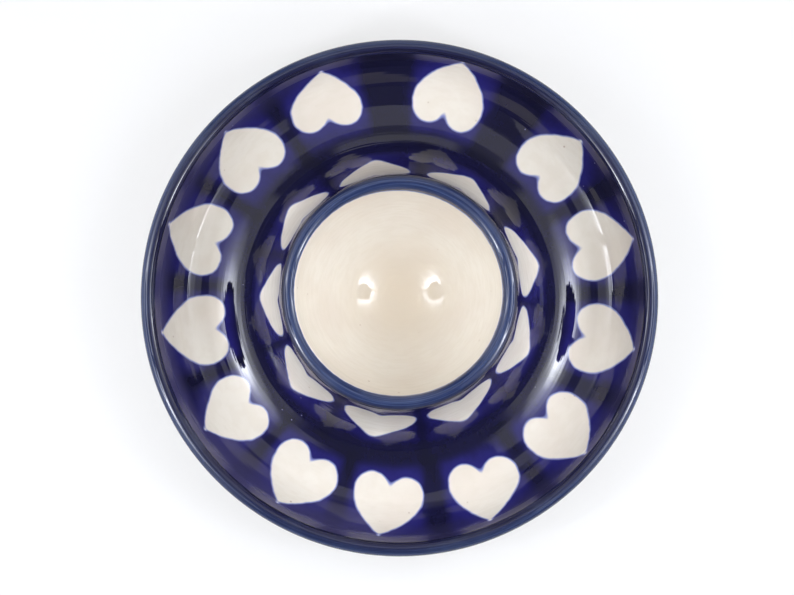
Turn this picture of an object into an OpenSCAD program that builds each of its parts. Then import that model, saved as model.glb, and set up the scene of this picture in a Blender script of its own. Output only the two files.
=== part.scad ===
// Egg cup on its own saucer, in glazed stoneware.
// A low cup stands in the middle of a saucer, with a round trough between them for shell and salt.
// Millimetres, +Z up, with the origin in the middle of the foot, on the table.

/* [Saucer] */
// Diameter over the saucer's lip
saucer_d = 125; // [112:1:140]
// Height of the top of the saucer's lip above the table
saucer_h = 17.5; // [15.5:0.5:21]
// Thickness of the saucer's rounded lip
saucer_lip_t = 3.6; // [3:0.1:4.4]
// Diameter of the lowest circle of the trough
trough_d = 93; // [89:1:96]
// Height of the trough's floor above the table
trough_h = 7; // [6.4:0.1:8]
// Diameter of the level part underneath, before the saucer's back rises
base_d = 84; // [82:1:90]

/* [Cup] */
// Height of the top of the cup's lip above the table
cup_h = 35; // [31:0.5:40]
// Thickness of the cup's rounded lip
cup_lip_t = 3.5; // [2.8:0.1:4]
// Diameter of the egg seat at the lip
seat_d = 48.2; // [46:0.2:50]
// Height of the bottom of the egg seat above the table
seat_h = 10.4; // [8.6:0.1:11]
// Lean of the egg seat's side under the lip, in degrees
seat_lean = 12; // [6:1:18]
// Lean of the cup's outer wall under the lip, in degrees
wall_lean = 5; // [2:1:8]
// Radius of the cove that the cup's wall sweeps out in, down to the trough
cove_r = 15.6; // [14:0.2:17]

/* [Foot] */
// Outer diameter of the foot ring
foot_d = 80; // [74:1:80]
// Width of the foot ring where it leaves the base
foot_w = 4.2; // [3.4:0.1:6]
// Height of the foot ring below the glazed base
foot_h = 2.5; // [1.6:0.1:3]
// Width of the dry tread that stands on the table
tread_w = 2; // [1.4:0.1:2.6]

/* [Luting] */
// Diameter of the saucer's socket, which holds the foot of the cup
socket_d = 76; // [70:1:80]
// Height of the socket's floor above the table
socket_h = 5; // [4.4:0.1:5.4]
// Thickness of the slip that lutes the cup into the socket
slip_t = 0.5; // [0.3:0.1:0.8]

/* [Glaze] */
// Thickness of the fired colour and glaze
coat_t = 0.4; // [0.2:0.05:0.6]
// Diameter at which the cup's ground meets the saucer's
ground_d = 78; // [76:1:80]

/* [Hearts] */
// Width of a heart
heart_w = 18; // [14:0.5:20]
// Distance along the wall from the saucer's lip band to the tips of its hearts
saucer_tip_gap = 1.5; // [0.4:0.1:3]
// Distance along the wall from the cup's ground to the lobes of the saucer's hearts
saucer_lobe_gap = 5; // [1:0.5:6]
// Least distance between two of the saucer's hearts
saucer_side_gap = 6; // [2:0.5:9]
// Distance along the wall from the cup's lip band to the lobes of its hearts
cup_lobe_gap = 5.6; // [2:0.2:8]
// Distance along the wall from the saucer's ground to the tips of the cup's hearts
cup_tip_gap = 6; // [2:0.5:9]
// Least distance between two of the cup's hearts
cup_side_gap = 1.2; // [1:0.1:4]

/* [Hidden] */

// The first heart's place in degrees from +X, and how far each heart strays by hand from an even
// pattern, anticlockwise
saucer_first = 15;
saucer_strays = [0, -2, 5, 12, 11, 9, 8, 6, 4, 2, 2, 1, 1];
cup_first = 18;
cup_strays = [0, 3, 3, 3, 2, 2, 2, 2, 0];

clay = "wheat";
cream = "ivory";
cobalt = "midnightblue";
band_blue = "steelblue";

$fn = 120;

// How far a step of the outline may leave its true arc, and steps down the egg seat
arc_error = 0.02;
seat_steps = 18;

// An arc of the outline is [centre, radius, first angle, last angle, side].
// Its side is 1 where the ware bulges and -1 where it is hollow.
bulging = 1;
hollow = -1;

function toward(a) = [cos(a), sin(a)];
function angle_of(v) = atan2(v[1], v[0]);
function reversed(path) = [for (i = [len(path) - 1:-1:0]) path[i]];

function steps_of(arc) = ceil(abs(arc[3] - arc[2]) / 2 / acos(1 - arc_error / arc[1]));
function on_arc(arc, a, depth) = arc[0] + (arc[1] - arc[4] * depth) * toward(a);

// Points of some arcs that run on into each other, at a depth under the surface
function path_of(arcs, depth) = [
    on_arc(arcs[0], arcs[0][2], depth),
    for (arc = arcs)
        let (steps = steps_of(arc))
        for (i = [1:steps])
            on_arc(arc, arc[2] + (arc[3] - arc[2]) * i / steps, depth)
];

// Point on the surface, a given run from the start of some arcs
function length_of(arc) = abs(arc[3] - arc[2]) * arc[1] * PI / 180;
function at_run(arcs, run, i = 0) =
    run > length_of(arcs[i]) && i < len(arcs) - 1
    ? at_run(arcs, run - length_of(arcs[i]), i + 1)
    : on_arc(arcs[i], arcs[i][2] + (arcs[i][3] - arcs[i][2]) * run / length_of(arcs[i]), 0);

// Radius of an arc that starts level and ends on a lip, whose centre is dx across and dz up.
// The lip's radius k is negative where the arc goes round the lip and positive where it stays out.
function level_arc_r(dx, dz, k) = (dx * dx + dz * dz - k * k) / (2 * (dz + k));

// How far from a lip's centre the centre of a hollow lies that leaves the lip at an angle and
// runs on into a second hollow of radius r, where w leads from that hollow's centre to the lip's
function bridge_length(w, angle, lip_r, r) =
    (pow(lip_r + r, 2) - w * w) / (2 * (w * toward(angle) + lip_r + r));

// Lips
cup_lip_r = cup_lip_t / 2;
cup_lip = [seat_d / 2 + cup_lip_r, cup_h - cup_lip_r];
saucer_lip_r = saucer_lip_t / 2;
saucer_lip = [saucer_d / 2 - saucer_lip_r, saucer_h - saucer_lip_r];

// Egg seat: the end of an ellipse, which reaches the lip at the seat's lean
seat_end = cup_lip + cup_lip_r * toward(180 - seat_lean);
seat_depth = seat_end[1] - seat_h;
seat_turn = acos(seat_depth * tan(seat_lean) / (seat_end[0] - seat_depth * tan(seat_lean)));
egg_a = seat_end[0] / sin(seat_turn);
egg_b = seat_depth / (1 - cos(seat_turn));
function on_egg(turn, depth) =
    let (outward = [egg_b * sin(turn), -egg_a * cos(turn)])
    [egg_a * sin(turn), seat_h + egg_b * (1 - cos(turn))] + depth * outward / norm(outward);
function seat_path(depth) =
    [for (i = [0:seat_steps]) on_egg(seat_turn * i / seat_steps, depth)];

// Cup's outer wall, and the cove that takes it down to the lowest circle of the trough
trough_r = trough_d / 2;
cove = [trough_r, trough_h + cove_r];
wall_length = bridge_length(cup_lip - cove, wall_lean, cup_lip_r, cove_r);
wall = cup_lip + wall_length * toward(wall_lean);
wall_turn = angle_of(cove - wall);
function cove_angle(d) = -90 - asin((trough_r - d / 2) / cove_r);
ground_turn = cove_angle(ground_d);

// Saucer's wall above the trough, and its back
bowl_r = level_arc_r(saucer_lip[0] - trough_r, saucer_lip[1] - trough_h, saucer_lip_r);
bowl = [trough_r, trough_h + bowl_r];
bowl_turn = angle_of(saucer_lip - bowl);
base_r = base_d / 2;
back_r = level_arc_r(saucer_lip[0] - base_r, saucer_lip[1] - foot_h, -saucer_lip_r);
back = [base_r, foot_h + back_r];
back_turn = angle_of(saucer_lip - back);

// The glazed surface, from the cup's lip to the level base
cup_lip_arcs = [[cup_lip, cup_lip_r, 180 - seat_lean, wall_lean, bulging]];
cup_wall_arcs = [
    [wall, wall_length - cup_lip_r, wall_lean - 180, wall_turn, hollow],
    [cove, cove_r, wall_turn, ground_turn, hollow]
];
trough_arcs = [
    [cove, cove_r, ground_turn, -90, hollow],
    [bowl, bowl_r, -90, bowl_turn, hollow]
];
saucer_lip_arcs = [[saucer_lip, saucer_lip_r, bowl_turn + 180, back_turn, bulging]];
back_arcs = [[back, back_r, back_turn, -90, bulging]];

foot_outer = foot_d / 2;
foot_inner = foot_outer - foot_w;
clay_base_h = foot_h + coat_t;

// Half section of all the clay, under the coat
module clay_section() {
    arcs = concat(cup_lip_arcs, cup_wall_arcs, trough_arcs, saucer_lip_arcs, back_arcs);
    seat = seat_path(coat_t);
    polygon(concat([for (i = [0:seat_steps - 1]) seat[i]], path_of(arcs, coat_t),
                   [[0, clay_base_h]]));
}

// Half section of the space over the saucer's socket, less a margin all round
module socket_section(margin) {
    translate([0, socket_h + margin])
        square([socket_d / 2 - margin, cup_h]);
}

// Coat on some arcs, as a ring
module coat(arcs) {
    rotate_extrude()
        polygon(concat(path_of(arcs, 0), reversed(path_of(arcs, coat_t))));
}

// Places of hearts in degrees, as many as fit round a circle of radius r
function heart_count(r, gap) = floor(180 / asin((heart_w + gap) / 2 / r));
function heart_angles(first, strays, r, gap) =
    let (count = heart_count(r, gap))
    [for (i = [0:count - 1]) first + i * 360 / count + strays[i % len(strays)]];

// A heart with its tip at the origin and its lobes towards +Y: two round lobes, and a body
// between two wide arcs that cross at the tip
module heart(length) {
    lobe_r = heart_w * 0.26;
    lobe_x = heart_w / 2 - lobe_r;
    body_l = length - lobe_r;
    side_r = (body_l * body_l + heart_w * heart_w / 4) / heart_w;
    side_x = side_r - heart_w / 2;
    for (side = [-1, 1])
        translate([side * lobe_x, body_l])
            circle(r = lobe_r);
    intersection() {
        translate([-side_x, body_l])
            circle(r = side_r);
        translate([side_x, body_l])
            circle(r = side_r);
        translate([-heart_w / 2, -lobe_r])
            square([heart_w, lobe_r + body_l]);
    }
}

// The saucer's hearts are cut from above, with their tips towards the lip
saucer_run = length_of(trough_arcs[0]) + length_of(trough_arcs[1]);
saucer_tip_r = at_run(trough_arcs, saucer_run - saucer_tip_gap)[0];
saucer_lobe_r = at_run(trough_arcs, saucer_lobe_gap)[0];
saucer_heart_angles = heart_angles(saucer_first, saucer_strays,
                                   (saucer_tip_r + saucer_lobe_r) / 2, saucer_side_gap);
module saucer_stamps() {
    for (a = saucer_heart_angles)
        rotate([0, 0, a])
            translate([saucer_tip_r, 0, 0])
                rotate([0, 0, 90])
                    linear_extrude(height = saucer_h)
                        heart(saucer_tip_r - saucer_lobe_r);
}

// The cup's hearts are cut from the side, with their tips down
cup_run = length_of(cup_wall_arcs[0]) + length_of(cup_wall_arcs[1]);
cup_tip_z = at_run(cup_wall_arcs, cup_run - cup_tip_gap)[1];
cup_lobe_z = at_run(cup_wall_arcs, cup_lobe_gap)[1];
cup_lobe_r = at_run(cup_wall_arcs, cup_lobe_gap + heart_w / 4)[0];
cup_heart_angles = heart_angles(cup_first, cup_strays, cup_lobe_r, cup_side_gap);
module cup_stamps() {
    for (a = cup_heart_angles)
        rotate([0, 0, a])
            translate([seat_d / 4, 0, cup_tip_z])
                rotate([90, 0, 90])
                    linear_extrude(height = trough_r - seat_d / 4)
                        heart(cup_lobe_z - cup_tip_z);
}

// Clay of the saucer, with the socket that takes the cup
module saucer() {
    color(clay)
        rotate_extrude()
            difference() {
                clay_section();
                socket_section(0);
            }
}

// Clay of the cup, with the egg seat sunk into it
module cup() {
    color(clay)
        rotate_extrude()
            intersection() {
                clay_section();
                socket_section(slip_t);
            }
}

// Slip between the cup and its socket
module luting_slip() {
    color(clay)
        rotate_extrude()
            intersection() {
                clay_section();
                difference() {
                    socket_section(0);
                    socket_section(slip_t);
                }
            }
}

// Foot ring, wider at the base than at its dry tread
module foot_ring() {
    lean = (foot_w - tread_w) / 2;
    color(clay)
        rotate_extrude()
            polygon([[foot_inner, clay_base_h], [foot_inner, foot_h], [foot_inner + lean, 0],
                     [foot_outer - lean, 0], [foot_outer, foot_h], [foot_outer, clay_base_h]]);
}

// Cobalt ground of the saucer, with a window where each heart was stamped
module saucer_ground() {
    color(cobalt)
        difference() {
            coat(trough_arcs);
            saucer_stamps();
        }
}

module saucer_hearts() {
    color(cream)
        intersection() {
            coat(trough_arcs);
            saucer_stamps();
        }
}

module saucer_lip_band() {
    color(band_blue)
        coat(saucer_lip_arcs);
}

// Cobalt ground of the cup's outside, with its own heart windows
module cup_ground() {
    color(cobalt)
        difference() {
            coat(cup_wall_arcs);
            cup_stamps();
        }
}

module cup_hearts() {
    color(cream)
        intersection() {
            coat(cup_wall_arcs);
            cup_stamps();
        }
}

module cup_lip_band() {
    color(band_blue)
        coat(cup_lip_arcs);
}

// Clear glaze in the egg seat
module seat_glaze() {
    color(cream)
        rotate_extrude()
            polygon(concat(seat_path(0), reversed(seat_path(coat_t))));
}

// Clear glaze below, wiped off the foot ring
module underside_glaze() {
    color(cream)
        rotate_extrude() {
            difference() {
                polygon(concat([[0, clay_base_h], [0, foot_h]], reversed(path_of(back_arcs, 0)),
                               path_of(back_arcs, coat_t)));
                translate([foot_inner, 0])
                    square([foot_w, clay_base_h + coat_t]);
            }
        }
}

saucer();
cup();
luting_slip();
foot_ring();
saucer_ground();
saucer_hearts();
saucer_lip_band();
cup_ground();
cup_hearts();
cup_lip_band();
seat_glaze();
underside_glaze();
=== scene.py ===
# %% [markdown]
# # An egg cup on its own saucer
# The real thing is one piece of glazed stoneware: a low cup for the egg in the middle of a round
# saucer, with a trough between them for the shell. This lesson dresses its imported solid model. The
# model is loaded first, as a fixed frame in metres, and everything else is made to sit in it.

# %% Load the frame
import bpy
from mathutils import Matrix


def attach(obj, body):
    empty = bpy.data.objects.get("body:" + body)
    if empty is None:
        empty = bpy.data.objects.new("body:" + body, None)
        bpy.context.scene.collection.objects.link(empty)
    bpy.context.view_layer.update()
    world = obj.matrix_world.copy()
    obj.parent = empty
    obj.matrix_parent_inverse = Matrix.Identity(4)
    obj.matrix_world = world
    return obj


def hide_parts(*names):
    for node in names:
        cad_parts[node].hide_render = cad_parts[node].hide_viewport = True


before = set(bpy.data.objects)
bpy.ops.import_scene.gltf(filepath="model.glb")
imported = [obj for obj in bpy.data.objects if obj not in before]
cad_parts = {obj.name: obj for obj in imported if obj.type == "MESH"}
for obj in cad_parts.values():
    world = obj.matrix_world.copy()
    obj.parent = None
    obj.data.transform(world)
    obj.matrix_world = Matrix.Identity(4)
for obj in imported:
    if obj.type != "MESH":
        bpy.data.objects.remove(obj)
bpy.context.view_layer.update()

import math

import bpy
from mathutils import Vector

mm = 0.001
print("solid nodes:", ", ".join(sorted(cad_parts)))

# %% [markdown]
# ## The section of the pot
# A potter judges a pot by its section: the line from the middle of the egg seat, over the cup's
# lip, down its wall, through the trough and over the saucer's lip to the foot. Here that line is a
# few arcs that run on into each other without a kink, as a wet clay wall does, and glaze shows any
# kink at once in its reflections. The arcs could be drawn by eye with a curve object. They are
# worked out instead from the same few sizes as the solid model, so that both agree to a hair.

# %% Sizes of the section
hair = 0.02 * mm
lip_r, saucer_lip_r = 1.75 * mm, 1.8 * mm
cup_lip = Vector((25.85, 33.25)) * mm
saucer_lip = Vector((60.7, 15.7)) * mm
seat_bottom, seat_lean, wall_lean = 10.4 * mm, 12, 5
trough_r, trough_z, cove_r = 46.5 * mm, 7 * mm, 15.6 * mm
meeting_r, base_r, base_z = 39 * mm, 42 * mm, 2.5 * mm


def toward(degrees):
    return Vector((math.cos(math.radians(degrees)), math.sin(math.radians(degrees))))


def angle_of(v):
    return math.degrees(math.atan2(v.y, v.x))


def level_arc(lip, lip_radius, start, inside):
    """Centre and radius of an arc that starts level and ends on a lip."""
    dx, dz = lip.x - start.x, lip.y - start.y
    k = -lip_radius if inside else lip_radius
    radius = (dx * dx + dz * dz - k * k) / (2 * (dz + k))
    return Vector((start.x, start.y + radius)), radius


cove = Vector((trough_r, trough_z + cove_r))
to_lip = cup_lip - cove
reach = lip_r + cove_r
bridge = (reach**2 - to_lip.length_squared) / (2 * (to_lip.dot(toward(wall_lean)) + reach))
wall = cup_lip + bridge * toward(wall_lean)
wall_turn = angle_of(cove - wall)
meeting_turn = -90 - math.degrees(math.asin((trough_r - meeting_r) / cove_r))
bowl, bowl_r = level_arc(saucer_lip, saucer_lip_r, Vector((trough_r, trough_z)), False)
bowl_turn = angle_of(saucer_lip - bowl)
back, back_r = level_arc(saucer_lip, saucer_lip_r, Vector((base_r, base_z)), True)
back_turn = angle_of(saucer_lip - back)
print("wall meets cove at", round(wall_turn, 2), "degrees, bowl radius", round(bowl_r / mm, 2), "mm")

# %% [markdown]
# Each stretch of the section that was dipped or painted in its own colour becomes a piece of its
# own. A stretch is a list of points, and its bulging or hollow side tells on which side the clay is.

# %% Stretches of the section
cove_steps = 14


def arc(centre, radius, start, end, steps, clay_inside):
    """Points on an arc, a hair under the surface of the solid model."""
    sunk = radius - hair if clay_inside else radius + hair
    return [centre + sunk * toward(start + (end - start) * i / steps) for i in range(steps + 1)]


def egg_seat_points(steps):
    """The blunt end of an egg: an ellipse that reaches the cup's lip at the seat's lean."""
    end = cup_lip + lip_r * toward(180 - seat_lean)
    depth = end.y - seat_bottom
    slope = math.tan(math.radians(seat_lean))
    turn = math.acos(depth * slope / (end.x - depth * slope))
    a, b = end.x / math.sin(turn), depth / (1 - math.cos(turn))
    points = []
    for i in range(steps + 1):
        t = turn * i / steps
        outward = Vector((b * math.sin(t), -a * math.cos(t))).normalized()
        points.append(Vector((a * math.sin(t), seat_bottom + b * (1 - math.cos(t)))) + hair * outward)
    return points


seat_line = egg_seat_points(26)
cup_lip_line = arc(cup_lip, lip_r, 180 - seat_lean, wall_lean, 20, True)
cup_wall_line = (arc(wall, bridge - lip_r, wall_lean - 180, wall_turn, 14, False)
                 + arc(cove, cove_r, wall_turn, meeting_turn, 16, False)[1:])
trough_line = (arc(cove, cove_r, meeting_turn, -90, cove_steps, False)
               + arc(bowl, bowl_r, -90, bowl_turn, 30, False)[1:])
saucer_lip_line = arc(saucer_lip, saucer_lip_r, bowl_turn + 180, back_turn, 22, True)
foot_outer, foot_inner = 40 * mm, 35.8 * mm
back_line = (arc(back, back_r, back_turn, -90, 18, True)
             + [Vector((foot_outer, base_z + hair))])
well_line = [Vector((r * mm, base_z + hair)) for r in (35.8, 34, 27, 18, 9, 0)]
# The run is counted along the section from the lowest circle of the trough, and is negative
# towards the cup. The hearts are placed by it.
run_zero = trough_line[cove_steps]
stretches = (seat_line, cup_lip_line, cup_wall_line, trough_line, saucer_lip_line, back_line)
print("points:", sum(len(line) for line in stretches))

# %% [markdown]
# ## Throwing the pot
# On the wheel a wall is one section turned about an axis, and Blender's Spin does the same. The
# section starts as a small plane merged to one vertex. That vertex is extruded from point to point,
# and the chain is spun round the pot's axis. 256 steps keep the lips round in a close view.

# %% Throw a stretch of the wall
steps_around, weld = 256, 0.002 * mm


def only(piece):
    """Deselects everything and makes this piece the one worked on."""
    if bpy.context.object and bpy.context.object.mode != "OBJECT":
        bpy.ops.object.mode_set(mode="OBJECT")
    bpy.ops.object.select_all(action="DESELECT")
    piece.select_set(True)
    bpy.context.view_layer.objects.active = piece


def throw(name, line):
    """Spins a line of (radius, height) points into a wall, with the run kept on its points."""
    bpy.ops.object.select_all(action="DESELECT")
    bpy.ops.mesh.primitive_plane_add(size=mm)
    piece = bpy.context.object
    piece.name = piece.data.name = name
    bpy.ops.object.mode_set(mode="EDIT")
    bpy.ops.mesh.merge(type="CENTER")
    bpy.ops.transform.translate(value=(line[0].x, 0, line[0].y))
    for here, there in zip(line, line[1:]):
        step = (there.x - here.x, 0, there.y - here.y)
        bpy.ops.mesh.extrude_region_move(TRANSFORM_OT_translate={"value": step})
    bpy.ops.mesh.select_all(action="SELECT")
    bpy.ops.mesh.spin(steps=steps_around, angle=2 * math.pi, center=(0, 0, 0), axis=(0, 0, 1))
    bpy.ops.mesh.select_all(action="SELECT")
    bpy.ops.mesh.remove_doubles(threshold=weld)
    bpy.ops.mesh.normals_make_consistent(inside=False)
    bpy.ops.object.mode_set(mode="OBJECT")
    bpy.ops.object.shade_smooth()
    return piece


# %% [markdown]
# Normals made consistent point out of a closed wall, but an open one, such as the trough alone, can
# come out either way. Seen from above, every stretch of the inside covers a ring, so its faces
# together point up, and the back's point down. That tells whether a piece has to be flipped.
# The whole pot is thrown once more as a guide: at a seam between two colours both pieces take their
# normals from it, so that a reflection runs over the seam unbroken. The guide is removed at the end.

# %% Guide for the normals
whole_line = (seat_line + cup_lip_line[1:] + cup_wall_line[1:] + trough_line[1:]
              + saucer_lip_line[1:] + back_line[1:] + well_line)
guide = throw("guide", whole_line)
print("guide:", len(guide.data.polygons), "faces")


def run_table(line):
    """The run at each point of the whole section."""
    runs, total = [0.0], 0.0
    for here, there in zip(line, line[1:]):
        total += (there - here).length
        runs.append(total)
    zero = runs[min(range(len(line)), key=lambda i: (line[i] - run_zero).length)]
    return [(run - zero) / mm for run in runs]


section_runs = run_table(whole_line)


def keep_run(piece, line):
    """Writes the run of each vertex in millimetres, for the finishes that follow the wall."""
    first = min(range(len(whole_line)), key=lambda i: (whole_line[i] - line[0]).length)
    runs = section_runs[first:first + len(line)]
    kept = piece.data.attributes.new("run", "FLOAT", "POINT")
    for vertex in piece.data.vertices:
        spot = Vector((math.hypot(vertex.co.x, vertex.co.y), vertex.co.z))
        nearest = min(range(len(line)), key=lambda i: (line[i] - spot).length_squared)
        kept.data[vertex.index].value = runs[nearest]


def face_the_air(piece, upwards):
    """Flips a piece whose faces, taken together, point down where they should point up."""
    lift = sum(face.normal.z * face.area for face in piece.data.polygons)
    if (lift > 0) != upwards:
        only(piece)
        bpy.ops.object.mode_set(mode="EDIT")
        bpy.ops.mesh.select_all(action="SELECT")
        bpy.ops.mesh.flip_normals()
        bpy.ops.object.mode_set(mode="OBJECT")


# %% [markdown]
# ## A wall with a thickness
# Glaze is a layer about 0.4 mm thick that is fused to the clay. Solidify gives each stretch that
# thickness on its inner side and marks the new faces with the second material, bare clay. Then
# Data Transfer lends the outer corners the guide's normals.
# For baking its finish to a texture, each piece gets its own map: a disc or ring with the run as its
# radius, so that a steep wall gets as many pixels as a level one. Its hidden inner side goes in a
# corner.

# %% Glaze skins
skin_thickness = 0.38 * mm
# Middle and radius of the two round maps, of the glazed side and of the clay side
glazed_map, clay_map = (0.5, 0.49), (0.09, 0.08)


def bake_map(piece):
    """A round map of the piece with the run as its radius, and its inner side small in a corner."""
    runs = [kept.value for kept in piece.data.attributes["run"].data]
    low, high = min(runs), max(runs)
    radii = [math.hypot(v.co.x, v.co.y) for v in piece.data.vertices]
    rising = radii[runs.index(high)] > radii[runs.index(low)]
    hole = 0.9 * min(radii) / max(radii)
    uv = piece.data.uv_layers.new(name="OFBake")
    for face in piece.data.polygons:
        middle, outer = clay_map if face.material_index > 0 else glazed_map
        for corner in face.loop_indices:
            vertex = piece.data.loops[corner].vertex_index
            share = (runs[vertex] - low) / (high - low)
            share = share if rising else 1 - share
            radius = outer * (hole + (1 - hole) * share)
            x, y = piece.data.vertices[vertex].co.xy
            length = max(math.hypot(x, y), 1e-9)
            uv.data[corner].uv = (middle + radius * x / length, middle + radius * y / length)


def glaze_skin(name, line, upwards, *nodes, slot):
    """One stretch of the pot's surface as a closed skin that replaces nodes of the solid model."""
    piece = throw(name, line)
    face_the_air(piece, upwards)
    keep_run(piece, line)
    # One slot for the glaze, and one for the clay behind it
    piece.data.materials.append(None)
    piece.data.materials.append(None)
    only(piece)
    skin = piece.modifiers.new("skin", "SOLIDIFY")
    skin.thickness = skin_thickness
    skin.offset = -1
    skin.use_even_offset = True
    skin.material_offset = skin.material_offset_rim = 1
    piece.vertex_groups.new(name="clay_side")
    skin.shell_vertex_group = "clay_side"
    bpy.ops.object.modifier_apply(modifier="skin")
    lend = piece.modifiers.new("lend", "DATA_TRANSFER")
    lend.object = guide
    lend.use_loop_data = True
    lend.data_types_loops = {"CUSTOM_NORMAL"}
    lend.loop_mapping = "NEAREST_POLYNOR"
    lend.vertex_group = "clay_side"
    lend.invert_vertex_group = True
    bpy.ops.object.modifier_apply(modifier="lend")
    bake_map(piece)
    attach(piece, "root")
    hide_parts(*nodes)
    print(name, "has", len(piece.data.polygons), "faces")
    return piece


egg_seat = glaze_skin("egg_seat", seat_line, True, "seat_glaze", slot="cream_glaze")
cup_rim = glaze_skin("cup_rim", cup_lip_line, True, "cup_lip_band", slot="lip_glaze")
cup_wall = glaze_skin("cup_wall", cup_wall_line, True, "cup_ground", "cup_hearts",
                      slot="cobalt_glaze")
trough = glaze_skin("trough", trough_line, True, "saucer_ground", "saucer_hearts",
                    slot="cobalt_glaze")
saucer_rim = glaze_skin("saucer_rim", saucer_lip_line, True, "saucer_lip_band", slot="lip_glaze")
back_skin = glaze_skin("saucer_back", back_line, False, "underside_glaze", slot="cream_glaze")
well_skin = glaze_skin("foot_well", well_line, False, "underside_glaze", slot="cream_glaze")
bpy.data.objects.remove(guide)

# %% [markdown]
# Which way each piece faces can't be left to chance, because a wall turned inside out is thickened
# on its wrong side. So the outermost points are measured before the next step.

# %% Check the sides
for piece in (egg_seat, cup_rim, cup_wall, trough, saucer_rim, back_skin, well_skin):
    widest = max(math.hypot(v.co.x, v.co.y) for v in piece.data.vertices)
    heights = [v.co.z for v in piece.data.vertices]
    print(f"{piece.name}: radius {widest / mm:.2f}, height {min(heights) / mm:.2f} to "
          f"{max(heights) / mm:.2f} mm")

# %% [markdown]
# ## The foot ring
# The pot was turned over on the wheel and its foot trimmed with a blade, so the ring has straight
# sides and a narrow flat tread. The glaze was wiped off it, or it would stick to the kiln shelf. The
# blade leaves sharp arrises, and a wet sponge softens them. So the ring is a spun section whose
# sharp edges get a small bevel.

# %% Trim the foot ring
tread = 2 * mm
lean = (foot_outer - foot_inner - tread) / 2
foot_line = [Vector(p) for p in (
    (foot_inner + hair, base_z + hair), (foot_inner + lean, hair), (foot_outer - lean, hair),
    (foot_outer - hair, base_z + hair), (foot_inner + hair, base_z + hair))]
foot_ring = throw("turned_foot", foot_line)
only(foot_ring)
soften = foot_ring.modifiers.new("soften", "BEVEL")
soften.width = 0.35 * mm
soften.segments = 3
soften.angle_limit = math.radians(40)
bpy.ops.object.modifier_apply(modifier="soften")
bpy.ops.object.shade_smooth_by_angle(angle=math.radians(35))
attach(foot_ring, "root")
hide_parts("foot_ring")
print("foot ring:", len(foot_ring.data.polygons), "faces")

# %% [markdown]
# ## Finishes
# Every finish here is fired, so each is a Principled BSDF whose colour and bump come from shader
# nodes, and nothing is painted on an image. Small helpers keep the node code readable. One puts a
# value or a wire on a socket, one adds a step of arithmetic, and the others add a soft step, a blend
# of two colours, a noise or a group.

# %% Node helpers


def paint(red, green, blue):
    """A colour as a screen shows it, from 0 to 255, for a shader's socket."""
    shares = [c / 255 for c in (red, green, blue)]
    return tuple(s / 12.92 if s <= 0.04045 else ((s + 0.055) / 1.055) ** 2.4 for s in shares) + (1,)


def put(tree, value, socket):
    """Wires an output to a socket, or sets the socket to a plain value."""
    if isinstance(value, bpy.types.NodeSocket):
        tree.links.new(value, socket)
    else:
        socket.default_value = value


def calc(tree, operation, *values):
    """One Math node."""
    step = tree.nodes.new("ShaderNodeMath")
    step.operation = operation
    for value, socket in zip(values, step.inputs):
        put(tree, value, socket)
    return step.outputs[0]


def apart(tree, value, middle):
    """How far a value lies from a middle, on either side of it."""
    return calc(tree, "ABSOLUTE", calc(tree, "SUBTRACT", value, middle))


def fade(tree, value, low, high, to_low=0.0, to_high=1.0):
    """A soft step: to_low where the value is low, and to_high where it is high."""
    step = tree.nodes.new("ShaderNodeMapRange")
    step.interpolation_type = "SMOOTHSTEP"
    for name, number in (("Value", value), ("From Min", low), ("From Max", high),
                         ("To Min", to_low), ("To Max", to_high)):
        put(tree, number, step.inputs[name])
    return step.outputs[0]


def blend_colours(tree, share, first, second):
    """The first colour where the share is 0, and the second where it is 1."""
    step = tree.nodes.new("ShaderNodeMix")
    step.data_type = "RGBA"
    put(tree, share, step.inputs[0])
    # Sockets 6 and 7 are the node's two colours, and output 2 is the blend
    put(tree, first, step.inputs[6])
    put(tree, second, step.inputs[7])
    return step.outputs[2]


def own_point(tree):
    """The point that is shaded, in the piece's own coordinates."""
    return tree.nodes.new("ShaderNodeTexCoord").outputs["Object"]


def noise(tree, vector, scale, detail=2.0, rough=0.5):
    """A soft noise from 0 to 1, whose waves are shorter the larger the scale is."""
    step = tree.nodes.new("ShaderNodeTexNoise")
    tree.links.new(vector, step.inputs["Vector"])
    step.inputs["Scale"].default_value = scale
    step.inputs["Detail"].default_value = detail
    step.inputs["Roughness"].default_value = rough
    return step.outputs["Fac"]


def stretch(tree, vector, x, y, z):
    """The vector with each of its three numbers multiplied."""
    step = tree.nodes.new("ShaderNodeVectorMath")
    step.operation = "MULTIPLY"
    tree.links.new(vector, step.inputs[0])
    step.inputs[1].default_value = (x, y, z)
    return step.outputs[0]


def new_group(name, inputs, outputs):
    """A node group with named number sockets in, and named sockets out."""
    tree = bpy.data.node_groups.new(name, "ShaderNodeTree")
    for label, number in inputs.items():
        socket = tree.interface.new_socket(label, in_out="INPUT", socket_type="NodeSocketFloat")
        socket.default_value = number
    for label, kind in outputs.items():
        tree.interface.new_socket(label, in_out="OUTPUT", socket_type=f"NodeSocket{kind}")
    return tree, tree.nodes.new("NodeGroupInput").outputs, tree.nodes.new("NodeGroupOutput").inputs


def place(tree, group, **values):
    """Puts a group in a tree, and its inputs are values or wires."""
    node = tree.nodes.new("ShaderNodeGroup")
    node.node_tree = group
    for label, value in values.items():
        put(tree, value, node.inputs[label])
    return node.outputs


# %% [markdown]
# ### Where a point is on the pot
# Decoration on a thrown pot is laid out by two numbers: how far round, and how far up the wall. The
# first is the angle in the piece's own coordinates and the second is the run kept on its vertices.
# A third output is a point on a circle, which lets noise run round the pot with no seam.

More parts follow.
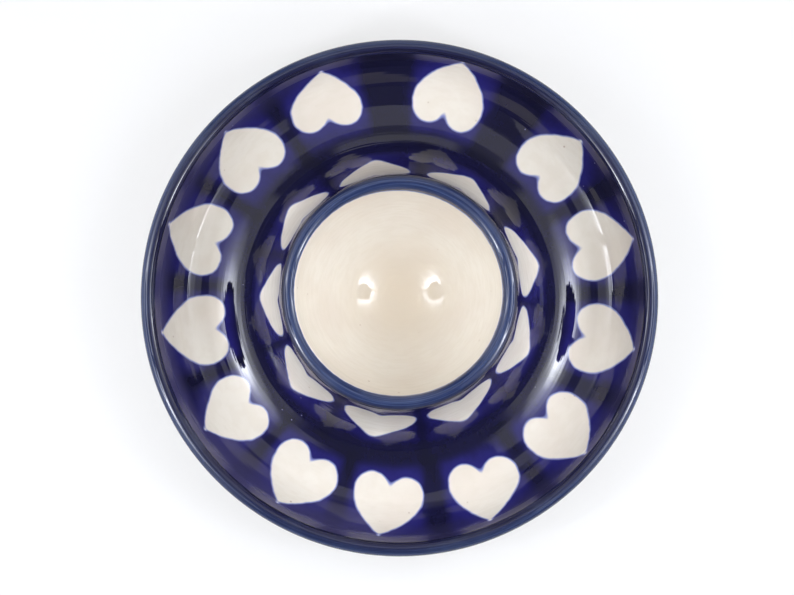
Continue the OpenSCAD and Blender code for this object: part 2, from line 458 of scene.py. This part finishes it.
# %% Group: place on the pot
where, _, out = new_group("place_on_pot", {}, {"Turn": "Float", "Run": "Float", "Circle": "Vector"})
spot = own_point(where)
xyz = where.nodes.new("ShaderNodeSeparateXYZ")
where.links.new(spot, xyz.inputs[0])
turn = calc(where, "DEGREES", calc(where, "ARCTAN2", xyz.outputs["Y"], xyz.outputs["X"]))
run = where.nodes.new("ShaderNodeAttribute")
run.attribute_name = "run"
flat = where.nodes.new("ShaderNodeVectorMath")
flat.operation = "NORMALIZE"
where.links.new(stretch(where, spot, 1, 1, 0), flat.inputs[0])
put(where, turn, out["Turn"])
put(where, run.outputs["Fac"], out["Run"])
put(where, flat.outputs[0], out["Circle"])
print("place_on_pot has", len(where.nodes), "nodes")


def drawn_out(tree, here, per_mm):
    """A point for noise that runs round the pot and changes so much with each mm of run."""
    up = tree.nodes.new("ShaderNodeCombineXYZ")
    put(tree, calc(tree, "MULTIPLY", here["Run"], per_mm), up.inputs["Z"])
    point = tree.nodes.new("ShaderNodeVectorMath")
    put(tree, here["Circle"], point.inputs[0])
    put(tree, up.outputs[0], point.inputs[1])
    return point.outputs[0]


# %% [markdown]
# ### One stamped heart
# The hearts are bare places in the blue: the painter pressed a wet cut-out heart on the clay, or
# painted round it, so their edges are clean, but no two sit alike. A heart could be cut into the
# mesh, which makes hard, faceted edges under a glaze. Here it is a distance, in millimetres, to
# its outline: below zero inside and above zero outside. Any soft edge follows from that number.
# Two round lobes meet a body, whose sides are wide arcs that straighten into a tip of about 86
# degrees. On the saucer the tip ends in a little nib, where the colour crept under the point, and
# on the cup it is blunt.

# %% Group: stamped heart
heart, given, out = new_group(
    "stamped_heart",
    {"Turn": 0, "Run": 0, "Place": 0, "Lobes": -3, "Tip": 15, "Lean": 4, "Round": 51, "Wide": 18.4,
     "Blunt": 0.3, "Nib": 0.34},
    {"Edge": "Float", "Beside": "Float"})
# The plain heart in mm, with its tip at zero, and how softly its parts run into each other
full_w, full_l, lobe_x, lobe_size, lobe_y = 18.2, 17.8, 4.6, 4.5, 13.3
side_x, half_tip, nib_y = 6.0, math.radians(43), 0.3
soft_notch, soft_sides, soft_shoulders, soft_nib = 4.0, 2.5, 0.3, 1.0
away = calc(heart, "WRAP", calc(heart, "SUBTRACT", given["Turn"], given["Place"]), 180, -180)
across = calc(heart, "MULTIPLY", calc(heart, "RADIANS", away), given["Round"])
middle = calc(heart, "MULTIPLY", calc(heart, "ADD", given["Lobes"], given["Tip"]), 0.5)
along = calc(heart, "SUBTRACT", middle, given["Run"])
lean_angle = calc(heart, "RADIANS", given["Lean"])
cosine, sine = calc(heart, "COSINE", lean_angle), calc(heart, "SINE", lean_angle)
turned_x = calc(heart, "SUBTRACT", calc(heart, "MULTIPLY", across, cosine),
                calc(heart, "MULTIPLY", along, sine))
turned_y = calc(heart, "ADD", calc(heart, "MULTIPLY", along, cosine),
                calc(heart, "MULTIPLY", across, sine))
wide_share = calc(heart, "DIVIDE", full_w, given["Wide"])
long_share = calc(heart, "DIVIDE", full_l, calc(heart, "SUBTRACT", given["Tip"], given["Lobes"]))
x = calc(heart, "MULTIPLY", turned_x, wide_share)
y = calc(heart, "MULTIPLY_ADD", turned_y, long_share, full_l / 2)
# A soft absolute value folds the two halves together, and rounds the tip
folded = calc(heart, "SQRT", calc(heart, "MULTIPLY_ADD", x, x,
                                  calc(heart, "MULTIPLY", given["Blunt"], given["Blunt"])))


def from_point(tree, at, px, py):
    """Distance to a point in the heart's own plane."""
    dx, dy = calc(tree, "SUBTRACT", at, px), calc(tree, "SUBTRACT", y, py)
    return calc(tree, "SQRT", calc(tree, "MULTIPLY_ADD", dx, dx, calc(tree, "MULTIPLY", dy, dy)))


lobe = calc(heart, "SMOOTH_MIN", from_point(heart, x, lobe_x, lobe_y),
            from_point(heart, x, -lobe_x, lobe_y), soft_notch)
lobe = calc(heart, "SUBTRACT", lobe, lobe_size)
side = calc(heart, "SUBTRACT", from_point(heart, folded, -side_x, lobe_y), side_x + full_w / 2)
vee = calc(heart, "SUBTRACT", calc(heart, "MULTIPLY", folded, math.cos(half_tip)),
           calc(heart, "MULTIPLY", y, math.sin(half_tip)))
body = calc(heart, "SMOOTH_MAX", side, vee, soft_sides)
body = calc(heart, "MAXIMUM", body, calc(heart, "SUBTRACT", y, lobe_y))
whole = calc(heart, "SMOOTH_MIN", lobe, body, soft_shoulders)
nib = calc(heart, "SUBTRACT", from_point(heart, x, 0.0, nib_y), given["Nib"])
whole = calc(heart, "SMOOTH_MIN", whole, nib, soft_nib)
put(heart, whole, out["Edge"])
put(heart, calc(heart, "ABSOLUTE", across), out["Beside"])
print("stamped_heart has", len(heart.nodes), "nodes")

# %% [markdown]
# ### Cobalt under glaze
# The blue is cobalt oxide painted on by hand and covered with clear glaze. It is nearly black where
# two strokes overlap, midway between the hearts, and turns violet blue beside a heart, where it
# thins. Fine streaks run up the wall as the brush did. The group takes the distance to the nearest
# heart and to its middle line, and gives the colour. The pale blue line that some colour left at a
# heart's edge, where it bled into the glaze, comes later, with the hearts.

# %% Group: brushed cobalt
cobalt, given, out = new_group("brushed_cobalt", {"Edge": 9, "Beside": 9}, {"Colour": "Color"})
deep_blue, thin_blue, violet = paint(23, 21, 60), paint(33, 30, 84), paint(38, 35, 108)
overlap_blue, cove_dark_blue, milky_blue = paint(19, 19, 34), paint(19, 19, 38), paint(66, 63, 103)
here = place(cobalt, where)
streak_at = drawn_out(cobalt, here, 0.012)
fine = noise(cobalt, streak_at, 38, 3, 0.6)
broad = noise(cobalt, streak_at, 7, 2)
cloud = noise(cobalt, own_point(cobalt), 55, 3)
ragged = calc(cobalt, "MULTIPLY_ADD", fine, 2.2, calc(cobalt, "MULTIPLY", broad, 3.0))
overlap = fade(cobalt, calc(cobalt, "ADD", ragged, given["Beside"]), 10.8, 13.6)
thin = calc(cobalt, "MULTIPLY_ADD", cloud, 0.9, calc(cobalt, "MULTIPLY", fine, 0.5))
thin = fade(cobalt, thin, 0.45, 0.95)
wash = blend_colours(cobalt, thin, deep_blue, thin_blue)
halo = fade(cobalt, given["Edge"], 0.2, 4.5, 0.6, 0.0)
wash = blend_colours(cobalt, halo, wash, violet)
wash = blend_colours(cobalt, calc(cobalt, "MULTIPLY", overlap, 0.8), wash, overlap_blue)
# Darker blue on the cup's side of the bottom of the trough
cove_darkening = fade(cobalt, apart(cobalt, here["Run"], -8.8), 2, 5, 0.75, 0.0)
wash = blend_colours(cobalt, cove_darkening, wash, cove_dark_blue)
# A paler, greyer blue in one place, at the front and a little to the left
pale_front_left = calc(cobalt, "MULTIPLY", fade(cobalt, apart(cobalt, here["Turn"], -120), 22, 38, 0.75, 0.0),
           fade(cobalt, here["Run"], 2, 15))
# The blue is paler under the rim on both sides, most at the left and the front left
turn = calc(cobalt, "RADIANS", here["Turn"])
both_sides = calc(cobalt, "COSINE", calc(cobalt, "MULTIPLY", turn, 2))
front_left = calc(cobalt, "COSINE", calc(cobalt, "ADD", turn, math.radians(148)))
paler_under_rim = calc(cobalt, "MULTIPLY_ADD", both_sides, 0.25, 0.38)
paler_under_rim = calc(cobalt, "MULTIPLY_ADD", front_left, 0.45, paler_under_rim)
paler_under_rim = calc(cobalt, "MULTIPLY", paler_under_rim, fade(cobalt, here["Run"], 9, 15))
wash = blend_colours(cobalt, calc(cobalt, "MAXIMUM", pale_front_left, paler_under_rim), wash, milky_blue)
put(cobalt, wash, out["Colour"])
print("brushed_cobalt has", len(cobalt.nodes), "nodes")

# %% [markdown]
# ### Specks in the body
# Stoneware clay holds a little iron. It shows as pin-prick specks, brown in the cream and pale
# where a bubble broke the blue. A Voronoi texture cuts space into cells of about 2 mm, each with a
# chance colour. A cell whose chance is high gets one small dot in its middle.

# %% Group: body specks
speck, given, out = new_group("body_specks", {"Size": 1}, {"Mask": "Float"})
cells_in_metre, empty_share = 420, 0.93
cells = speck.nodes.new("ShaderNodeTexVoronoi")
put(speck, own_point(speck), cells.inputs["Vector"])
cells.inputs["Scale"].default_value = cells_in_metre
chance = speck.nodes.new("ShaderNodeSeparateColor")
put(speck, cells.outputs["Color"], chance.inputs[0])
near = calc(speck, "DIVIDE", cells.outputs["Distance"], given["Size"])
dot = calc(speck, "MULTIPLY", fade(speck, near, 0.05, 0.16, 1.0, 0.0),
           calc(speck, "GREATER_THAN", chance.outputs[0], empty_share))
put(speck, dot, out["Mask"])
print("body_specks has", len(speck.nodes), "nodes")

# %% [markdown]
# ### The surface of a glaze
# Glaze is glass that ran a little in the kiln. It evens out the throwing rings of the clay but
# never quite hides them, and cools with a faint ripple like orange peel. Both are heights for a
# Bump node, and both are small, because the photo's reflections are only slightly wavy.

# %% Group: glaze surface
ripple, given, out = new_group("glaze_surface", {}, {"Height": "Float"})
rings = noise(ripple, drawn_out(ripple, place(ripple, where), 0.9), 0.8, 2)
peel = calc(ripple, "MULTIPLY", noise(ripple, own_point(ripple), 330, 1), 0.22)
put(ripple, calc(ripple, "ADD", rings, peel), out["Height"])
print("glaze_surface has", len(ripple.nodes), "nodes")

# %% [markdown]
# ### Putting a finish on a piece
# Every glaze gets the same glassy shader, so this makes a material, runs the part that is its own,
# and wires the result. Roughness and index are plain numbers on the shader's own sockets, and the
# ripple is a slight one.

# %% Glaze maker
glaze_index, glaze_roughness, ripple_strength = 1.52, 0.03, 0.06


def glaze(name, colour_of):
    """A glassy material, and colour_of adds its colour to the material's nodes."""
    material = bpy.data.materials.new(name)
    material.use_nodes = True
    tree = material.node_tree
    shader = tree.nodes["Principled BSDF"]
    shader.inputs["IOR"].default_value = glaze_index
    shader.inputs["Roughness"].default_value = glaze_roughness
    put(tree, colour_of(tree), shader.inputs["Base Color"])
    relief = tree.nodes.new("ShaderNodeBump")
    relief.inputs["Distance"].default_value = mm
    relief.inputs["Strength"].default_value = ripple_strength
    put(tree, place(tree, ripple)["Height"], relief.inputs["Height"])
    put(tree, relief.outputs[0], shader.inputs["Normal"])
    return material


# %% [markdown]
# ### Blue walls with their hearts
# Thirteen hearts stand in the trough and nine on the cup, all with their tips outwards and down.
# Each row gives the place of a heart in degrees, the run of its lobes and of its tip, and how far
# it leans. The stamps were set by hand and by eye, so the steps between them are uneven. Close
# under the saucer's rim the glaze ran thin and is duller, so the trough's roughness rises there.

# %% Hearts, and the walls that carry them
saucer_hearts = (
    (14.9, -2.9, 15.2, 5.5), (41.0, -3.5, 14.8, 2), (75.7, -2.8, 16.8, 4.5),
    (110.5, -1.3, 14.7, 8.5), (136.8, -2, 15.1, 1.7), (162.9, -1.9, 15.6, 2.7),
    (189, -3.5, 14.5, 2.5), (214.5, -4, 12.4, 1.7), (240.6, -3.8, 13.8, 7.7),
    (266.2, -3.3, 13.8, 7.5), (293.9, -2.3, 14.6, 11.3), (320.6, -2.7, 15.7, 4.2),
    (348, -2.9, 14.7, 3.3))
cup_hearts = (
    (14.9, -28.8, -11.8, 8), (59.6, -30.5, -13.7, 5), (101.3, -30.3, -13.5, 4.5),
    (141.3, -29.2, -12.3, 3), (181.5, -30.3, -13.3, 7), (220.9, -30.2, -13.1, 2),
    (260, -29.6, -12.5, 6), (299.2, -30.2, -13.5, 6), (337.3, -29.8, -12.9, 5))
# Radius of the circle that the hearts stand on, and the width of a heart, in mm
on_saucer, on_cup = (51, 18.2), (30, 17.8)
bubble_blue, pale_line = paint(120, 118, 150), paint(124, 132, 184)
streak_cream, iron_brown = paint(214, 204, 186), paint(160, 130, 104)
# Painted light: a lighter copy of the cream for the hearts on the steep cup wall
lit_cup_creams = paint(236, 230, 219), paint(230, 221, 209)
no_nib = -2


def cream_colour(tree, pale=paint(226, 219, 206), warm=paint(221, 211, 197)):
    """Clear glaze over pale clay: cream with faint warm clouds and a few iron specks."""
    spot = own_point(tree)
    clouds = fade(tree, noise(tree, spot, 60, 2), 0.35, 0.7)
    cream = blend_colours(tree, clouds, pale, warm)
    streaks = fade(tree, noise(tree, stretch(tree, spot, 1, 1, 6), 300, 2), 0.4, 0.65)
    cream = blend_colours(tree, calc(tree, "MULTIPLY", streaks, 0.25), cream, streak_cream)
    iron = place(tree, speck, Size=1.0)["Mask"]
    return blend_colours(tree, calc(tree, "MULTIPLY", iron, 0.6), cream, iron_brown)


def blue_with_hearts(rows, radius, wide, creams=(), **tip_shape):
    """Gives the colour of a wall: cream hearts in brushed cobalt."""
    def colour(tree):
        here = place(tree, where)
        hearts = [place(tree, heart, Turn=here["Turn"], Run=here["Run"], Place=turn, Lobes=lobes,
                        Tip=tip, Lean=lean, Round=radius, Wide=wide, **tip_shape)
                  for turn, lobes, tip, lean in rows]
        edge, beside = hearts[0]["Edge"], hearts[0]["Beside"]
        for one in hearts[1:]:
            edge = calc(tree, "MINIMUM", edge, one["Edge"])
            beside = calc(tree, "MINIMUM", beside, one["Beside"])
        wander = calc(tree, "MULTIPLY_ADD", noise(tree, own_point(tree), 260, 2), 0.7, -0.35)
        edge = calc(tree, "ADD", edge, wander)
        blue = place(tree, cobalt, Edge=edge, Beside=beside)["Colour"]
        blue = blend_colours(tree, place(tree, speck, Size=0.6)["Mask"], blue, bubble_blue)
        rim = blend_colours(tree, fade(tree, edge, -0.1, 0.3), pale_line, blue)
        cream = cream_colour(tree, *creams)
        return blend_colours(tree, fade(tree, edge, -0.4, 0.0), cream, rim)
    return colour


trough_finish = glaze("blue_trough_glaze", blue_with_hearts(saucer_hearts, *on_saucer))
tree = trough_finish.node_tree
duller = fade(tree, place(tree, where)["Run"], 12.5, 14.5, glaze_roughness, 0.3)
put(tree, duller, tree.nodes["Principled BSDF"].inputs["Roughness"])
wall_finish = glaze("blue_cup_glaze", blue_with_hearts(cup_hearts, *on_cup, lit_cup_creams, Blunt=1.1,
                                                       Nib=no_nib))
cream_finish = glaze("cream_glaze", cream_colour)
print("trough finish has", len(trough_finish.node_tree.nodes), "nodes")

# %% [markdown]
# ### Blue-grey lips
# Over a sharp rounded edge glaze runs thin. The cobalt that the banding brush left there goes from
# blue to a blue-grey, in fine lines that follow the lip. Noise that is drawn out round the pot gives
# the lines. Towards the trough each lip is as dark as the wall below it.

# %% Lip finish


def lip_colour(low_run, high_run, low_share, high_share):
    """Blue-grey where the share is 1 and nearly the wall's cobalt where it is 0."""
    def colour(tree):
        here = place(tree, where)
        lines = fade(tree, noise(tree, drawn_out(tree, here, 2.6), 1.6, 4, 0.65), 0.35, 0.7)
        share = fade(tree, here["Run"], low_run, high_run, low_share, high_share)
        deep = blend_colours(tree, share, paint(20, 20, 44), paint(30, 40, 76))
        pale = blend_colours(tree, share, paint(38, 39, 70), paint(58, 72, 108))
        blue = blend_colours(tree, lines, deep, pale)
        worn = fade(tree, noise(tree, own_point(tree), 90, 3), 0.5, 0.75)
        return blend_colours(tree, calc(tree, "MULTIPLY", worn, 0.2), blue, paint(76, 88, 116))
    return colour


cup_lip_colour = lip_colour(-38.2, -36.6, 1.0, 0.0)
saucer_lip_finish = glaze("saucer_lip_glaze", lip_colour(18, 20.6, 0.0, 1.0))
print("saucer lip finish has", len(saucer_lip_finish.node_tree.nodes), "nodes")

# %% [markdown]
# ### The cream seat
# The bottom of the seat is painted darker and yellower, as painted shade. The banding brush carried
# the blue over the lip to the seat's edge, further on one side than on the other. So the seat and the
# lip share one finish, and the edge wanders over the seam between them.

# %% Seat finish
mm_in_metre = 1000
blue_from = 24.15
# The first colour is cream in painted shade, for the bottom of the seat
shaded_seat_cream, bled_blue = paint(220, 207, 187), paint(132, 144, 190)


def cream_to_blue(tree):
    """Cream inside the edge that the brush left, and the lip's blue-grey beyond it."""
    spot = own_point(tree)
    from_axis = tree.nodes.new("ShaderNodeVectorMath")
    from_axis.operation = "LENGTH"
    tree.links.new(stretch(tree, spot, mm_in_metre, mm_in_metre, 0), from_axis.inputs[0])
    radius = from_axis.outputs["Value"]
    # Painted shade: the cream turns darker and yellower towards the bottom of the seat
    painted_seat_shade = fade(tree, radius, 2, 19, 1.0, 0.0)
    cream = blend_colours(tree, painted_seat_shade, cream_colour(tree), shaded_seat_cream)
    turn = calc(tree, "RADIANS", place(tree, where)["Turn"])
    sway = calc(tree, "MULTIPLY", calc(tree, "COSINE", turn), -0.27)
    sway = calc(tree, "MULTIPLY_ADD", calc(tree, "SINE", turn), -0.08, sway)
    oval = calc(tree, "COSINE", calc(tree, "MULTIPLY", turn, 2))
    sway = calc(tree, "MULTIPLY_ADD", oval, 0.15, sway)
    past = calc(tree, "SUBTRACT", radius, calc(tree, "ADD", sway, blue_from))
    past = calc(tree, "SUBTRACT", past, 0.08)
    past = calc(tree, "MULTIPLY_ADD", noise(tree, spot, 500, 2), 0.16, past)
    bled = blend_colours(tree, fade(tree, past, 0.0, 0.12), bled_blue, cup_lip_colour(tree))
    return blend_colours(tree, fade(tree, past, -0.1, 0.0), cream, bled)


seat_finish = glaze("seat_glaze", cream_to_blue)
cup_lip_finish = glaze("cup_lip_glaze", cream_to_blue)
print("seat finish has", len(seat_finish.node_tree.nodes), "nodes")

# %% [markdown]
# ### Bare clay
# The tread of the foot and all clay under the glaze is fired stoneware: a warm buff, dry and gritty.
# It has no gloss, and its grit is a stronger bump.

# %% Clay finish
clay_roughness, grit_strength = 0.82, 0.1
clay_finish = bpy.data.materials.new("bare_stoneware")
clay_finish.use_nodes = True
tree = clay_finish.node_tree
shader = tree.nodes["Principled BSDF"]
shader.inputs["Roughness"].default_value = clay_roughness
spot = own_point(tree)
grit = noise(tree, spot, 1400, 3, 0.6)
tone = fade(tree, noise(tree, spot, 120, 3), 0.35, 0.7)
buff = blend_colours(tree, tone, paint(196, 172, 140), paint(176, 148, 116))
buff = blend_colours(tree, place(tree, speck, Size=1.3)["Mask"], buff, paint(96, 74, 58))
put(tree, buff, shader.inputs["Base Color"])
relief = tree.nodes.new("ShaderNodeBump")
relief.inputs["Distance"].default_value = mm
relief.inputs["Strength"].default_value = grit_strength
put(tree, grit, relief.inputs["Height"])
put(tree, relief.outputs[0], shader.inputs["Normal"])
print("clay finish has", len(tree.nodes), "nodes")

# %% Put the finishes on
finishes = {egg_seat: seat_finish, cup_rim: cup_lip_finish, cup_wall: wall_finish,
            trough: trough_finish, saucer_rim: saucer_lip_finish, back_skin: cream_finish,
            well_skin: cream_finish}
for piece, finish in finishes.items():
    piece.data.materials[0] = finish
    piece.data.materials[1] = clay_finish
foot_ring.data.materials.append(clay_finish)
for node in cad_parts.values():
    for slot in node.material_slots:
        slot.material = clay_finish
print("finished:", ", ".join(piece.name for piece in finishes), "and the clay of the solid model")

# %% [markdown]
# ## The table and the light
# The photo was taken on white, from almost straight above, between two round lamps that stand
# close by, left and right. Their reflections shape the whole look: two bright crescents, each with a
# dark lens in it, which is the lamp's head before its bright umbrella. A lamp at this distance is
# seen in another direction from each side of the trough, so a painted sky can't stand in for it.
# Each umbrella is a disc that glows by its own coordinates: dark in the middle, brightest round the
# head and fading outwards. The camera doesn't see the discs, which belong to the stage.

# %% Umbrella lamps
disc_radius, lamps_aim, lamp_colour = 0.15, Vector((0, 0, 10 * mm)), (0.96, 1, 1.1, 1)
# Distances from the middle of the disc in mm: where the glow is full, how fast it falls off, where
# the cloth is dimmer, where the disc ends softly, and the soft edge of the lamp's head
full_glow, fall_off, glow_across = 50, 26, 750
dimmer_cloth, soft_rim, head_edge = (68, 92, 1.0, 0.65), (120, 150, 1.0, 0.0), 3


def distance_in_mm(tree, spot, point, across=mm_in_metre):
    """Distance from a point on a lamp's disc, which may count less across the disc."""
    gap = tree.nodes.new("ShaderNodeVectorMath")
    gap.operation = "DISTANCE"
    tree.links.new(stretch(tree, spot, across, mm_in_metre, mm_in_metre), gap.inputs[0])
    gap.inputs[1].default_value = point
    return gap.outputs["Value"]


def umbrella(name, place_at, glow_shift, brightness, head_size, arm_at):
    """A glowing disc that faces the pot, with a dark lamp head and its arm before it."""
    bpy.ops.object.select_all(action="DESELECT")
    bpy.ops.mesh.primitive_circle_add(vertices=64, radius=disc_radius, fill_type="NGON")
    disc = bpy.context.object
    disc.name = name
    disc.location = Vector(place_at) * mm
    disc.rotation_euler = (lamps_aim - disc.location).to_track_quat("Z", "Y").to_euler()
    disc.visible_camera = False
    glow = bpy.data.materials.new(name)
    glow.use_nodes = True
    tree = glow.node_tree
    tree.nodes.clear()
    spot = own_point(tree)
    shift = disc.rotation_euler.to_matrix().inverted() @ Vector(glow_shift)
    off_head = distance_in_mm(tree, spot, (0, 0, 0))
    off_glow = distance_in_mm(tree, spot, shift, across=glow_across)
    fall = calc(tree, "DIVIDE", calc(tree, "SUBTRACT", full_glow, off_glow), fall_off)
    fall = calc(tree, "EXPONENT", fall)
    for dimming in (dimmer_cloth, soft_rim):
        fall = calc(tree, "MULTIPLY", fall, fade(tree, off_head, *dimming))
    # The head and its arm are dark, and the arm is about 10 mm wide and goes towards the disc's +Y
    head = fade(tree, off_head, head_size, head_size + head_edge)
    across_up = tree.nodes.new("ShaderNodeSeparateXYZ")
    tree.links.new(stretch(tree, spot, mm_in_metre, mm_in_metre, mm_in_metre), across_up.inputs[0])
    beside_arm = fade(tree, apart(tree, across_up.outputs["X"], arm_at), 4, 6)
    below_arm = fade(tree, across_up.outputs["Y"], 2, -2)
    head = calc(tree, "MULTIPLY", head, calc(tree, "MAXIMUM", beside_arm, below_arm))
    emit = tree.nodes.new("ShaderNodeEmission")
    emit.inputs["Color"].default_value = lamp_colour
    put(tree, calc(tree, "MULTIPLY", calc(tree, "MULTIPLY", fall, head), brightness),
        emit.inputs["Strength"])
    # A disc casts no shadow of its own, and only its dark head does
    clear = tree.nodes.new("ShaderNodeBsdfTransparent")
    shade = tree.nodes.new("ShaderNodeCombineColor")
    for channel in shade.inputs[:3]:
        put(tree, head, channel)
    put(tree, shade.outputs[0], clear.inputs["Color"])
    both = tree.nodes.new("ShaderNodeAddShader")
    tree.links.new(emit.outputs[0], both.inputs[0])
    tree.links.new(clear.outputs[0], both.inputs[1])
    tree.links.new(both.outputs[0], tree.nodes.new("ShaderNodeOutputMaterial").inputs["Surface"])
    disc.data.materials.append(glow)
    print(name, "has", len(tree.nodes), "nodes")


umbrella("left_umbrella", (-200, -20, 197), (3, -13, 5), 11.8, 52, -13)
umbrella("right_umbrella", (200, -16, 197), (-3, -10, 6), 11.4, 48, 13)

# %% [markdown]
# The rest of the room is dim. A pale wall behind the cup gives the grey veil on the far side of the
# trough, with a dark shelf in it and, low down, a dark doorway on each side. The near side is dark
# too, in a sector that is wider low down. The world paints them by direction: the azimuth counts
# from +X and the zenith angle from straight up, both in degrees. The camera itself sees white.

# %% World light
near_side, far_side, shelf_zenith, shelf_azimuth = -88, 91, 43, 90
dimmest, wall_light, shelf_shade = 0.12, 0.75, 0.75
world = bpy.data.worlds.new("studio")
bpy.context.scene.world = world
world.use_nodes = True
tree = world.node_tree
direction = tree.nodes.new("ShaderNodeSeparateXYZ")
tree.links.new(tree.nodes.new("ShaderNodeTexCoord").outputs["Generated"], direction.inputs[0])
side, depth, height = direction.outputs
zenith = calc(tree, "DEGREES", calc(tree, "ARCCOSINE", height))
azimuth = calc(tree, "DEGREES", calc(tree, "ARCTAN2", depth, side))
wider = fade(tree, zenith, 44, 52, 0.0, 12.0)
walls = fade(tree, calc(tree, "SUBTRACT", apart(tree, azimuth, near_side), wider), 26, 38)
off_back = apart(tree, azimuth, far_side)
doorways = calc(tree, "MULTIPLY", fade(tree, off_back, 18, 24), fade(tree, off_back, 50, 44))
doorways = calc(tree, "MULTIPLY", doorways, fade(tree, zenith, 47, 53))
walls = calc(tree, "MULTIPLY", walls, calc(tree, "SUBTRACT", 1.0, doorways))
shelf_high = fade(tree, apart(tree, zenith, shelf_zenith), 7, 10, 1.0, 0.0)
shelf_wide = fade(tree, apart(tree, azimuth, shelf_azimuth), 32, 38, 1.0, 0.0)
shelf = calc(tree, "MULTIPLY_ADD", calc(tree, "MULTIPLY", shelf_high, shelf_wide), -shelf_shade, 1.0)
room = calc(tree, "MULTIPLY_ADD", calc(tree, "MULTIPLY", walls, shelf), wall_light, dimmest)
seen = tree.nodes.new("ShaderNodeLightPath").outputs["Is Camera Ray"]
unseen = calc(tree, "MULTIPLY", room, calc(tree, "SUBTRACT", 1.0, seen))
background = tree.nodes["Background"]
background.inputs["Color"].default_value = (1, 1, 1, 1)
put(tree, calc(tree, "ADD", unseen, seen), background.inputs["Strength"])
print("studio world has", len(tree.nodes), "nodes")

# %% [markdown]
# The camera stands out dark against the pale ceiling, close over the pot. A dark card just under the
# camera's place, which the camera doesn't see, throws the same reflection. Its outline is in mm.

# %% Camera's reflection
card_height, card_glow = 0.49, 0.12
card_outline = ((78, 26), (45, 40), (0, 47), (-50, 50), (-78, 32), (-75, -20), (-108, -110),
                (-270, -400), (275, -400), (88, -110), (74, -30))
bpy.ops.object.select_all(action="DESELECT")
bpy.ops.mesh.primitive_circle_add(vertices=len(card_outline), fill_type="NGON",
                                  location=(0, 0, card_height))
card = bpy.context.object
card.name = "dark_card"
for corner, (x, y) in zip(card.data.vertices, card_outline):
    corner.co = (x * mm, y * mm, 0)
card.visible_camera = False
card.visible_diffuse = False
card.visible_shadow = False
black = bpy.data.materials.new("dark_card")
black.use_nodes = True
tree = black.node_tree
tree.nodes.clear()
glow = tree.nodes.new("ShaderNodeEmission")
glow.inputs["Strength"].default_value = card_glow
tree.links.new(glow.outputs[0], tree.nodes.new("ShaderNodeOutputMaterial").inputs["Surface"])
card.data.materials.append(black)
print("card with", len(card_outline), "corners at", card_height, "m")

# %% [markdown]
# The floor is a sheet of white paper. What the camera sees of it is lifted almost to white, while
# the shadow of the saucer stays.

# %% Floor
floor_size, paper_grey, lift = 6, 0.42, 0.47
bpy.ops.object.select_all(action="DESELECT")
bpy.ops.mesh.primitive_plane_add(size=floor_size, location=(0, 0, 0))
floor = bpy.context.object
floor.name = "paper"
paper = bpy.data.materials.new("white_paper")
paper.use_nodes = True
tree = paper.node_tree
shader = tree.nodes["Principled BSDF"]
shader.inputs["Roughness"].default_value = 0.9
shader.inputs["Specular IOR Level"].default_value = 0.1
shader.inputs["Base Color"].default_value = (paper_grey, paper_grey, paper_grey, 1)
shader.inputs["Emission Color"].default_value = (1, 1, 1, 1)
shown = tree.nodes.new("ShaderNodeLightPath").outputs
rays = calc(tree, "MAXIMUM", shown["Is Glossy Ray"], shown["Is Transmission Ray"])
rays = calc(tree, "MAXIMUM", shown["Is Camera Ray"], rays)
put(tree, calc(tree, "MULTIPLY", rays, lift), shader.inputs["Emission Strength"])
floor.data.materials.append(paper)
print("floor:", floor_size, "m of white paper")

# %% [markdown]
# ## The camera
# The view leans 3 degrees off straight down, from half a metre, with the top of the picture towards
# +Y. The distance is read from the near cup's lip, which looks larger than it would from far away.

# %% Camera
tilt, distance = math.radians(3), 0.503
aim = Vector((-0.6, -0.27, 16)) * mm
view = bpy.data.cameras.new("view")
view.lens, view.sensor_width = 94.5, 36
camera = bpy.data.objects.new("view", view)
bpy.context.scene.collection.objects.link(camera)
camera.location = aim + distance * Vector((0, -math.sin(tilt), math.cos(tilt)))
camera.rotation_euler = (tilt, 0, 0)
bpy.context.scene.camera = camera
bpy.context.scene.view_settings.view_transform = "Standard"
